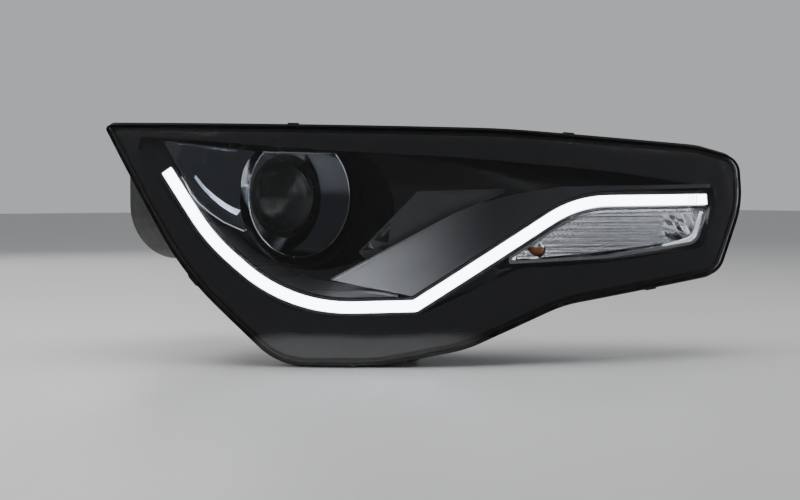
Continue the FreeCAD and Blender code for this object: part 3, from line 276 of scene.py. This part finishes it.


# Where the wing's silver starts and stops darkening, in metres across the face from the row frame's origin:
# painted shade, standing in for the guide's light falling off.
WING_PAINTED_SHADE_FROM, WING_PAINTED_SHADE_TO = -0.240, -0.050


def wing_silver_painted_shade():
    """Satin silver with fine upright lines, darker towards the inboard end: painted shade, standing in for
    the guide's light falling off away from the outboard end.
    """
    look = Look("wing_silver_painted_shade", (0.5, 0.5, 0.51), 0.34, 0.45)
    vector = look.place_coords((1, 1, 1), (0, 0, SWEEP))
    wave = look.node("ShaderNodeTexWave", Scale=260.0, Distortion=0.4, Detail=1.0)
    wave.bands_direction = "X"
    look.links.new(vector, wave.inputs["Vector"])
    split = look.node("ShaderNodeSeparateXYZ")
    look.links.new(vector, split.inputs[0])
    # Painted shade: the silver's colour darkens towards the inboard end, standing in for the guide's light
    # falling off.
    painted_shade = look.ramp(split.outputs["X"], 0.0, 1.0, WING_PAINTED_SHADE_FROM, WING_PAINTED_SHADE_TO)
    painted_shade.node.interpolation_type = "SMOOTHERSTEP"
    look.mix_color(painted_shade, (0.86, 0.87, 0.89), (0.04, 0.04, 0.045))
    look.vary_rough(look.noise(500.0, 3.0), 0.30, 0.42)
    look.bump(wave.outputs["Fac"], 0.4, 0.0003)
    return look


def lit_guide():
    """The light guide, lit along its whole length."""
    look = Look("guide_glow", (0.95, 0.97, 1.0), 0.25)
    look.shader.inputs["Emission Color"].default_value = (0.90, 0.95, 1.0, 1.0)
    look.shader.inputs["Emission Strength"].default_value = 15.0
    look.vary_rough(look.noise(80.0), 0.2, 0.35)
    look.bump(look.noise(240.0, 2.0), 0.08, 0.0003)
    return look


def amber():
    """Amber lacquer on a glass bulb: half clear, half coloured."""
    look = Look("amber_glass", (1.0, 0.27, 0.015), 0.18, Transmission_Weight=0.35, IOR=1.5, Coat_Weight=0.6)
    look.vary_color(look.noise(160.0), (0.95, 0.22, 0.01), (1.0, 0.34, 0.03))
    look.vary_rough(look.noise(90.0), 0.12, 0.26)
    return look


LOOKS = {
    "clear_cover": glass("cover_polycarbonate", (0.985, 0.99, 1.0), 1.5),
    "sealant": rubber("butyl_sealant"),
    "housing": moulded("housing_black", (0.018, 0.018, 0.019), 0.52),
    "bezel": piano_black("bezel_black"),
    "guide": lit_guide(),
    "satin_trim": brushed("satin_silver", (0.62, 0.63, 0.64), 0.32),
    "chrome_trim": plated("trim_chrome"),
    "spring_steel": brushed("zinc_steel", (0.62, 0.62, 0.6), 0.34, (300.0, 300.0, 40.0)),
    "circuit_case": moulded("nylon_black", (0.024, 0.024, 0.025), 0.5, 1800.0),
    "lens_glass": glass("projector_glass", (0.97, 0.99, 1.0), 1.52),
    "cast_aluminium": cast_metal("cast_aluminium", (0.56, 0.57, 0.58), 0.42),
    "nylon": moulded("nylon_natural", (0.62, 0.60, 0.54), 0.45),
    "reflector_metal": plated("reflector_aluminised", (0.9, 0.9, 0.91), 0.08),
    "bulb_glass": glass("bulb_quartz", (0.97, 0.98, 1.0), 1.46),
    "cap_rubber": rubber("cap_rubber"),
    "amber_glass": amber(),
    "contacts": plated("contact_brass", (0.78, 0.6, 0.28), 0.2),
}
NODE_LOOKS = {
    "wing_trim": wing_silver_painted_shade(),
    "projector_collar": moulded("collar_black", (0.007, 0.007, 0.008), 0.42, 1200.0),
    "guide_carrier": piano_black("carrier_black", (0.010, 0.010, 0.012)),
    "upper_facet": brushed("facet_smoked", (0.20, 0.20, 0.21), 0.40, (300.0, 300.0, 30.0)),
    "turn_frame": plated("turn_lip", (0.75, 0.76, 0.78), 0.12),
    "lens_clips": moulded("clip_coated", (0.014, 0.014, 0.015), 0.55),
    "lens_retainer": moulded("retainer_black", (0.010, 0.010, 0.011), 0.3),
    "side_mirror": plated("mirror_dark", (0.30, 0.31, 0.34), 0.05),
    "projector_shroud": plated("shroud_chrome", (0.32, 0.33, 0.36), 0.06),
}
CUT_CHROME = plated("cut_chrome", (0.93, 0.94, 0.95), 0.04)
LIP_CHROME = plated("lip_chrome", (0.90, 0.91, 0.93), 0.06)
FACET_CHROME = plated("facet_chrome", (0.62, 0.63, 0.65), 0.10)
MIRROR_SATIN = plated("mirror_satin", (0.17, 0.19, 0.21), 0.10)
WING_BEVEL = plated("wing_bevel", (0.90, 0.90, 0.91), 0.22)
GUIDE_TICK = moulded("guide_tick", (0.42, 0.44, 0.47), 0.35)
# Painted reflections of the guide's glow: plated looks with a weak emission, though these parts are no lamps.
CUT_GLOW = plated_painted_glow("cut_glow", (0.80, 0.86, 0.95), 0.10, (0.62, 0.76, 1.0), 0.55)
END_GLOW = plated_painted_glow("end_glow", (0.92, 0.94, 0.96), 0.12, (0.88, 0.93, 1.0), 0.65)
EDGE_GLOW = plated_painted_glow("edge_glow", (0.90, 0.92, 0.95), 0.12, (0.85, 0.92, 1.0), 0.5)

SLOT_OF = {row["node"]: row["material_slot"] for row in frame["record"]["subparts"]}
for node_name, node_object in NODES.items():
    chosen = NODE_LOOKS.get(node_name, LOOKS[SLOT_OF[node_name]])
    node_object.data.materials.clear()
    node_object.data.materials.append(chosen.mat)

# ---------------------------------------------------------------- pieces


def mesh_piece(name, verts, faces, look, body, smooth=True):
    """A piece from row-frame points, which rides on that body."""
    mesh = bpy.data.meshes.new(name)
    mesh.from_pydata([tuple(v) for v in verts], [], faces)
    mesh.validate()
    mesh.update()
    mesh.materials.append(look.mat)
    if smooth:
        mesh.shade_smooth()
    piece = bpy.data.objects.new(name, mesh)
    bpy.context.scene.collection.objects.link(piece)
    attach(piece, body)
    return piece


def add_wall(piece, thickness, side):
    """Gives a sheet its thickness, in metres, on the side of its normals (1) or the other (-1)."""
    wall = piece.modifiers.new("wall", "SOLIDIFY")
    wall.thickness = thickness
    wall.offset = side


def grid_faces(rows, columns, keep=None):
    """The quads of a grid of points stored row by row, or only those that keep(row, column) wants."""
    faces = []
    for i in range(rows):
        for j in range(columns):
            if keep is None or keep(i, j):
                first = i * (columns + 1) + j
                faces.append((first, first + 1, first + columns + 2, first + columns + 1))
    return faces


def plate_band(name, centres, look, front, thick):
    """A plate along face points (u, v, half width), with its front that far behind the cover."""
    chamfer, flat = 0.5, 0.6
    profile = (
        (-1.0, chamfer), (-flat, 0.0), (flat, 0.0), (1.0, chamfer), (1.0, thick), (-1.0, thick),
    )
    sides = len(profile)
    verts, faces = [], []
    last = len(centres) - 1
    for i, (u, v, half) in enumerate(centres):
        u0, v0, _ = centres[max(i - 1, 0)]
        u1, v1, _ = centres[min(i + 1, last)]
        run = math.hypot(u1 - u0, v1 - v0)
        out_u, out_v = (v1 - v0) / run, -(u1 - u0) / run
        for side, deep in profile:
            a, b = u + side * half * out_u, v + side * half * out_v
            verts.append(place(a, cover_depth(a, b) + front + deep, b))
    for i in range(last):
        for j in range(sides):
            k = (j + 1) % sides
            here, there = i * sides, (i + 1) * sides
            faces.append((here + j, here + k, there + k, there + j))
    faces.append(tuple(range(sides - 1, -1, -1)))
    faces.append(tuple(last * sides + j for j in range(sides)))
    mesh_piece(name, verts, faces, look, "lamp", smooth=False)


# The turn signal's window. Its straight edges are (u, height there, slope).
WINDOW_LOW_OUTBOARD = (100.0, -17.5, 0.0444)
WINDOW_LOW_INBOARD = (190.0, -13.5, 0.1374)
WINDOW_INBOARD_END = (281.0, -1.0, 2.79)
WINDOW_FLANK = (100.0, -12.76, 0.6246)
WINDOW_TOP = (166.7, 28.9, 0.0116)
WINDOW_BEND_FROM, WINDOW_BEND_TO = 143.0, 194.7
WINDOW_BEND_HEIGHTS = (14.1, 28.9, 29.2)

# How far the cut reflector stays inside each edge, and how round its lower corners are.
LOW_INSET, END_INSET, FLANK_INSET, TOP_INSET, BEND_INSET = 2.6, 7.4, 3.0, 2.6, 2.8
LOW_ROUNDING, END_ROUNDING = 2.0, 2.5

# The centre of the turn bulb's round tip, and the radius kept free round it.
TURN_BULB_U, TURN_BULB_V = 127.0, -5.5
TURN_BULB_W = 63.5
BULB_CLEAR_RADIUS = 8.4


def line_height(u, line):
    """The height at u of a straight edge."""
    start_u, height, slope = line
    return height + (u - start_u) * slope


def soft_max(first, second, round_by):
    """The higher of two heights, with the corner between them rounded."""
    high = max(first, second)
    rest = math.exp((first - high) / round_by) + math.exp((second - high) / round_by)
    return high + round_by * math.log(rest)


def window_low(u):
    """The lower edge of the cut reflector, which turns up at its inboard end."""
    outboard, inboard = line_height(u, WINDOW_LOW_OUTBOARD), line_height(u, WINDOW_LOW_INBOARD)
    low = soft_max(outboard, inboard, LOW_ROUNDING) + LOW_INSET
    return soft_max(low, line_height(u, WINDOW_INBOARD_END) + END_INSET, END_ROUNDING)


def window_high(u):
    """The upper edge of the cut reflector: along the guide's flank, round a bend, then nearly level."""
    if u < WINDOW_BEND_FROM:
        return line_height(u, WINDOW_FLANK) - FLANK_INSET
    if u > WINDOW_BEND_TO:
        return line_height(u, WINDOW_TOP) - TOP_INSET
    start, middle, end = WINDOW_BEND_HEIGHTS
    t = (u - WINDOW_BEND_FROM) / (WINDOW_BEND_TO - WINDOW_BEND_FROM)
    return (1 - t) ** 2 * start + 2 * t * (1 - t) * middle + t * t * end - BEND_INSET


def flute_height(u, v):
    """Height of the cuts: level flutes with fine upright steps, and large facets at the inboard end."""
    flute_pitch, flute_rise = 5.4, 2.1
    step_pitch, step_rise = 4.6, 0.48
    facets_from, facets_blend = 250.0, 4.0
    slope_pitch, slope_rise, slope_lean = 9.5, 3.6, 0.25
    ridge_pitch, ridge_rise, ridge_lean = 13.0, 1.6, 0.6
    band = math.floor(v / flute_pitch)
    share_up = v / flute_pitch - band
    flute = flute_rise * math.sin(math.pi * share_up)
    step = step_rise * math.cos(2 * math.pi * (u / step_pitch + 0.5 * (band % 2)))
    slope_cut = slope_rise * (1 - (v + slope_lean * u) / slope_pitch % 1)
    ridge_cut = ridge_rise * abs((u + ridge_lean * v) / ridge_pitch % 1 - 0.5)
    facet_share = min(1.0, max(0.0, (u - facets_from) / facets_blend))
    flutes = flute + step * (1 - abs(2 * share_up - 1))
    return flutes * (1 - facet_share) + (slope_cut + ridge_cut) * facet_share


def turn_flutes():
    """The cut reflector of the turn signal, a thin sheet in front of the bowl with a hole for the bulb."""
    columns, rows = 230, 64
    start_u, end_u = 107.5, 287.5
    gap, sharp_angle = 0.9, math.radians(32)

    def sheet_point(i, j):
        u = start_u + (end_u - start_u) * i / columns
        low_v, high_v = window_low(u), window_high(u)
        return u, low_v + (high_v - low_v) * j / rows

    def clear_of_bulb(i, j):
        u, v = sheet_point(i + 0.5, j + 0.5)
        return math.hypot(u - TURN_BULB_U, v - TURN_BULB_V) > BULB_CLEAR_RADIUS

    verts = []
    for i in range(columns + 1):
        for j in range(rows + 1):
            u, v = sheet_point(i, j)
            verts.append(place(u, reflector_depth(u, v) - gap - flute_height(u, v), v))
    faces = grid_faces(columns, rows, clear_of_bulb)
    sheet = mesh_piece("turn_flutes", verts, faces, CUT_CHROME, "lamp")
    sheet.data.set_sharp_from_angle(angle=sharp_angle)
    add_wall(sheet, thickness=0.0003, side=-1.0)


def bulb_hood():
    """A plated visor over the upper half of the turn bulb, part of a sphere round the bulb's tip."""
    rows, columns = 12, 28
    low_v, high_v = -4.3, 2.7
    verts = []
    for i in range(rows + 1):
        v = low_v + (high_v - low_v) * i / rows
        radius = math.sqrt(BULB_CLEAR_RADIUS ** 2 - (v - TURN_BULB_V) ** 2)
        for j in range(columns + 1):
            turn = math.pi * (j / columns - 0.5)
            u, w = TURN_BULB_U + radius * math.sin(turn), TURN_BULB_W - radius * math.cos(turn)
            verts.append(place(u, w, v))
    faces = grid_faces(rows, columns)
    hood = mesh_piece("bulb_hood", verts, faces, CUT_CHROME, "lamp")
    add_wall(hood, thickness=0.0004, side=1.0)


def window_end():
    """The bright moulded edge at the inboard end of the turn window, from its top round to its low edge:
    plated, with a painted reflection of the guide's glow.
    """
    centres = [
        (289.6, 28.4, 3.3), (287.8, 23.0, 3.5), (285.6, 17.0, 3.5), (283.2, 11.0, 3.4), (280.2, 5.8, 3.1),
        (275.6, 2.6, 2.6), (269.6, 0.8, 2.1), (262.6, -0.6, 1.6), (254.6, -1.9, 1.1), (246.6, -3.1, 0.6),
    ]
    plate_band("window_end", centres, END_GLOW, front=20.6, thick=2.2)


# The side mirror in the face frame: the line of its lip and the line of its prisms, both from the
# outboard end, its sloping outboard and upper edges, and the projector's opening next to it.
MIRROR_LINE = [
    (-199.0, 56.5), (-193.3, 46.0), (-184.9, 36.6), (-174.2, 27.8), (-161.3, 19.5), (-150.4, 14.8),
    (-142.0, 11.3),
]
CUT_LINE = [
    (-189.7, 61.2), (-181.6, 51.4), (-173.3, 43.6), (-161.7, 34.9), (-153.2, 30.3), (-147.4, 28.0),
]
MIRROR_CORNER_V = 95.0
OUTBOARD_EDGE_U, OUTBOARD_EDGE_RUN = -222.0, 0.597
UPPER_EDGE_U, UPPER_EDGE_FALL = -223.0, 0.117
OPENING_U, OPENING_V, OPENING_RADIUS = -88.5, 40.0, 58.0
LIP_CLEARANCE = 0.6
# The face's depth behind the cover at one place across, and how that grows towards the inboard end.
MIRROR_DEPTH, MIRROR_DEPTH_U, MIRROR_LEAN = 19.6, -200.0, 0.012


def point_along(points, t):
    """The point at share t of a line whose stretches count the same."""
    step = min(int(t * (len(points) - 1)), len(points) - 2)
    share = t * (len(points) - 1) - step
    return tuple(a + (b - a) * share for a, b in zip(points[step], points[step + 1]))


def mirror_depth(u, v):
    """Depth of the side mirror's plated face at a face point, in millimetres."""
    return cover_depth(u, v) + MIRROR_DEPTH + MIRROR_LEAN * (u - MIRROR_DEPTH_U)


def mirror_ends(v):
    """The outboard and inboard ends of the side mirror's face at that height."""
    start = OUTBOARD_EDGE_U + (MIRROR_CORNER_V - v) * OUTBOARD_EDGE_RUN
    for (u0, v0), (u1, v1) in zip(MIRROR_LINE, MIRROR_LINE[1:]):
        if v1 <= v <= v0:
            start = u0 + (u1 - u0) * (v0 - v) / (v0 - v1)
    opening = OPENING_U - math.sqrt(max(0.0, OPENING_RADIUS ** 2 - (v - OPENING_V) ** 2))
    upper_edge = UPPER_EDGE_U + (MIRROR_CORNER_V - v) / UPPER_EDGE_FALL
    return start + LIP_CLEARANCE, min(opening, upper_edge)


def mirror_face():
    """The plated face of the side mirror, a thin shell that runs up to the projector's opening."""
    rows, columns = 60, 44
    low_v, high_v = 12.0, 92.0
    verts = []
    for j in range(rows + 1):
        v = low_v + (high_v - low_v) * j / rows
        start, end = mirror_ends(v)
        for i in range(columns + 1):
            u = start + (end - start) * i / columns
            verts.append(place(u, mirror_depth(u, v), v))
    faces = grid_faces(rows, columns)
    shell = mesh_piece("mirror_face", verts, faces, MIRROR_SATIN, "lamp")
    add_wall(shell, thickness=0.0007, side=-1.0)


def mirror_cuts():
    """A row of small prisms on the side mirror, wider inboard, each turned towards the guide, with a painted
    reflection of the guide's glow.
    """
    count, filled = 30, 0.86
    narrowest, width_gain = 1.2, 1.7
    across_u, across_v = 0.6, 0.8
    foot, low_rise, slope = 0.05, 0.35, 0.8
    verts, faces = [], []
    for i in range(count):
        width = narrowest + width_gain * (i + 1) / count
        ends = [point_along(CUT_LINE, t) for t in (i / count, (i + filled) / count)]
        low = [(u - across_u * width, v - across_v * width) for u, v in ends]
        high = [(u + across_u * width, v + across_v * width) for u, v in ends]
        ring = [low[0], low[1], high[1], high[0]]
        rises = [low_rise, low_rise, low_rise + slope * width, low_rise + slope * width]
        base = len(verts)
        for u, v in ring:
            verts.append(place(u, mirror_depth(u, v) - foot, v))
        for (u, v), rise in zip(ring, rises):
            verts.append(place(u, mirror_depth(u, v) - rise, v))
        faces.append((base, base + 1, base + 2, base + 3))
        faces.append((base + 7, base + 6, base + 5, base + 4))
        for j in range(4):
            k = (j + 1) % 4
            faces.append((base + k, base + j, base + 4 + j, base + 4 + k))
    mesh_piece("mirror_cuts", verts, faces, CUT_GLOW, "lamp", smooth=False)


def mirror_edge():
    """The thin bright lip along the lower edge of the side mirror: plated, with a painted reflection of the
    guide's glow.
    """
    steps, half_width = 24, 0.42
    centres = [(*point_along(MIRROR_LINE, i / steps), half_width) for i in range(steps + 1)]
    plate_band("mirror_edge", centres, EDGE_GLOW, front=17.2, thick=2.2)


def wing_edge():
    """The bright bevel along the upper edge of the wing, thinner towards its far end."""
    steps = 12
    start_u, start_v, start_half = -62.4, -32.1, 0.85
    run_u, run_v, taper = 118.0, 62.2, 0.55
    centres = []
    for i in range(steps + 1):
        t = i / steps
        centres.append((start_u + run_u * t, start_v + run_v * t, start_half - taper * t))
    plate_band("wing_edge", centres, WING_BEVEL, front=18.7, thick=2.0)


def facet_cuts():
    """Three small faceted pyramids at the outboard tip of the upper facet."""
    foot, shoulder, tip = 0.2, 1.0, 3.6
    corners = [
        ((-35.4, -6.6), (-27.6, 2.4), (-23.9, -5.2)),
        ((-25.4, 2.9), (-8.4, 18.0), (-10.6, 0.4)),
        ((-21.8, -4.2), (-9.6, -1.0), (-13.4, -5.6)),
    ]
    verts, faces = [], []
    for ring in corners:
        base = len(verts)
        centre = (sum(u for u, _ in ring) / 3, sum(v for _, v in ring) / 3)
        for rise in (foot, shoulder):
            for u, v in ring:
                verts.append(place(u, facet_depth(u, v) - rise, v))
        verts.append(place(centre[0], facet_depth(*centre) - tip, centre[1]))
        faces.append((base, base + 1, base + 2))
        for j in range(3):
            k = (j + 1) % 3
            faces.append((base + k, base + j, base + 3 + j, base + 3 + k))
            faces.append((base + 3 + k, base + 3 + j, base + 6))
    mesh_piece("facet_cuts", verts, faces, FACET_CHROME, "lamp", smooth=False)


def guide_ticks():
    """Four fine upright bars on the face of the guide near its inboard end."""
    first_u, pitch, half_width = 274.5, 2.6, 0.45
    heights = (35.6, 39.8, 44.0)
    for index in range(4):
        u = first_u + pitch * index
        centres = [(u, v, half_width) for v in heights]
        plate_band(f"guide_tick_{index}", centres, GUIDE_TICK, front=15.1, thick=0.5)


def flat_ring(radius, flat, count=150):
    """A circle with its top cut level, as (x, z) points round the beam's centre."""
    points = []
    for i in range(count):
        angle = 2 * math.pi * i / count
        points.append((radius * math.cos(angle), min(flat, radius * math.sin(angle))))
    return points


def bead_round(name, outline, y, radius, look, body):
    """A round bead along a closed outline in a plane across the beam, in millimetres from the beam."""
    sides = 10
    verts, faces = [], []
    count = len(outline)
    for i, (x, z) in enumerate(outline):
        before_x, before_z = outline[i - 1]
        after_x, after_z = outline[(i + 1) % count]
        run = math.hypot(after_x - before_x, after_z - before_z)
        out_x, out_z = (after_z - before_z) / run, -(after_x - before_x) / run
        for j in range(sides):
            turn = 2 * math.pi * j / sides
            out, back = radius * math.cos(turn), radius * math.sin(turn)
            verts.append(BEAM + Vector((x + out * out_x, y + back, z + out * out_z)) / 1000)
    for i in range(count):
        for j in range(sides):
            here, there = i * sides, (i + 1) % count * sides
            k = (j + 1) % sides
            faces.append((here + j, here + k, there + k, there + j))
    mesh_piece(name, verts, faces, look, body)


def shroud_lip():
    """The rolled bright edge at the front of the ring, which swings with the projector."""
    lip_radius, lip_flat, lip_front, bead_radius = 57.1, 40.6, 112.9, 0.7
    outline = flat_ring(lip_radius, lip_flat)
    bead_round("shroud_lip", outline, lip_front, bead_radius, LIP_CHROME, "projector")


turn_flutes()
bulb_hood()
mirror_face()
mirror_cuts()
mirror_edge()
wing_edge()
facet_cuts()
window_end()
guide_ticks()
shroud_lip()

# ---------------------------------------------------------------- stage, lights, camera


def pale_floor():
    """A wide plain floor just below the lamp."""
    gap, reach = 0.0003, 9.0
    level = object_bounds()[0][2] - gap
    corners = [(-reach, -reach, level), (reach, -reach, level), (reach, reach, level), (-reach, reach, level)]
    mesh = bpy.data.meshes.new("floor")
    mesh.from_pydata(corners, [], [(0, 1, 2, 3)])
    look = Look("floor_pale", (0.72, 0.72, 0.72), 0.45)
    look.vary_rough(look.noise(6.0), 0.4, 0.5)
    mesh.materials.append(look.mat)
    floor = bpy.data.objects.new("floor", mesh)
    bpy.context.scene.collection.objects.link(floor)


def studio_world():
    """A grey surround, brighter behind the lamp than in front of it."""
    world = bpy.data.worlds.new("studio")
    bpy.context.scene.world = world
    world.use_nodes = True
    nodes, links = world.node_tree.nodes, world.node_tree.links
    background = nodes["Background"]
    background.inputs["Color"].default_value = (0.62, 0.63, 0.65, 1.0)
    way = nodes.new("ShaderNodeTexCoord")
    turn = nodes.new("ShaderNodeVectorMath")
    turn.operation = "DOT_PRODUCT"
    turn.inputs[1].default_value = W_AXIS
    strength = nodes.new("ShaderNodeMapRange")
    for key, value in zip(("From Min", "From Max", "To Min", "To Max"), (-0.3, 0.6, 0.16, 0.75)):
        strength.inputs[key].default_value = value
    links.new(way.outputs["Generated"], turn.inputs[0])
    links.new(turn.outputs["Value"], strength.inputs["Value"])
    links.new(strength.outputs["Result"], background.inputs["Strength"])


def area_light(name, at, size, power):
    """A soft white light aimed at the lamp's middle, with its size in metres and its power in watts."""
    data = bpy.data.lights.new(name, "AREA")
    data.shape = "RECTANGLE"
    data.size, data.size_y = size
    data.energy = power
    light = bpy.data.objects.new(name, data)
    light.location = at
    aim = LAMP_CENTRE - Vector(at)
    light.rotation_euler = aim.to_track_quat("-Z", "Y").to_euler()
    bpy.context.scene.collection.objects.link(light)
    return light


def photo_camera():
    """The camera square to the cover's face and slightly above it, as in the photograph."""
    distance, rise = 1.390, math.radians(2.0)
    aim_drop = 0.0045
    data = bpy.data.cameras.new("camera")
    data.lens = 70.0
    data.sensor_width = 36.0
    data.clip_start = 0.02
    data.clip_end = 60.0
    camera = bpy.data.objects.new("camera", data)
    bpy.context.scene.collection.objects.link(camera)
    up = Vector((0, 0, distance * math.sin(rise)))
    camera.location = FACE_ZERO - W_AXIS * distance * math.cos(rise) + up
    aim_point = FACE_ZERO - Vector((0, 0, aim_drop))
    camera.rotation_euler = (aim_point - camera.location).to_track_quat("-Z", "Y").to_euler()
    bpy.context.scene.camera = camera


LAMP_CENTRE = FACE_ZERO + Vector((0.0, 0.1, 0.0))
pale_floor()
studio_world()
top_soft = area_light("top_soft", (-0.3, -0.3, 1.5), (1.6, 1.2), 16)
# Its mirror image would lie as a hard patch along the cover's upper edge.
top_soft.visible_glossy = False
top_soft.visible_transmission = False
area_light("left_soft", (-1.7, 1.1, 1.0), (1.0, 1.2), 10)
area_light("right_soft", (1.5, -0.9, 0.6), (0.8, 1.2), 8)
area_light("back_soft", (0.2, 2.2, 1.0), (1.6, 1.0), 16)
photo_camera()
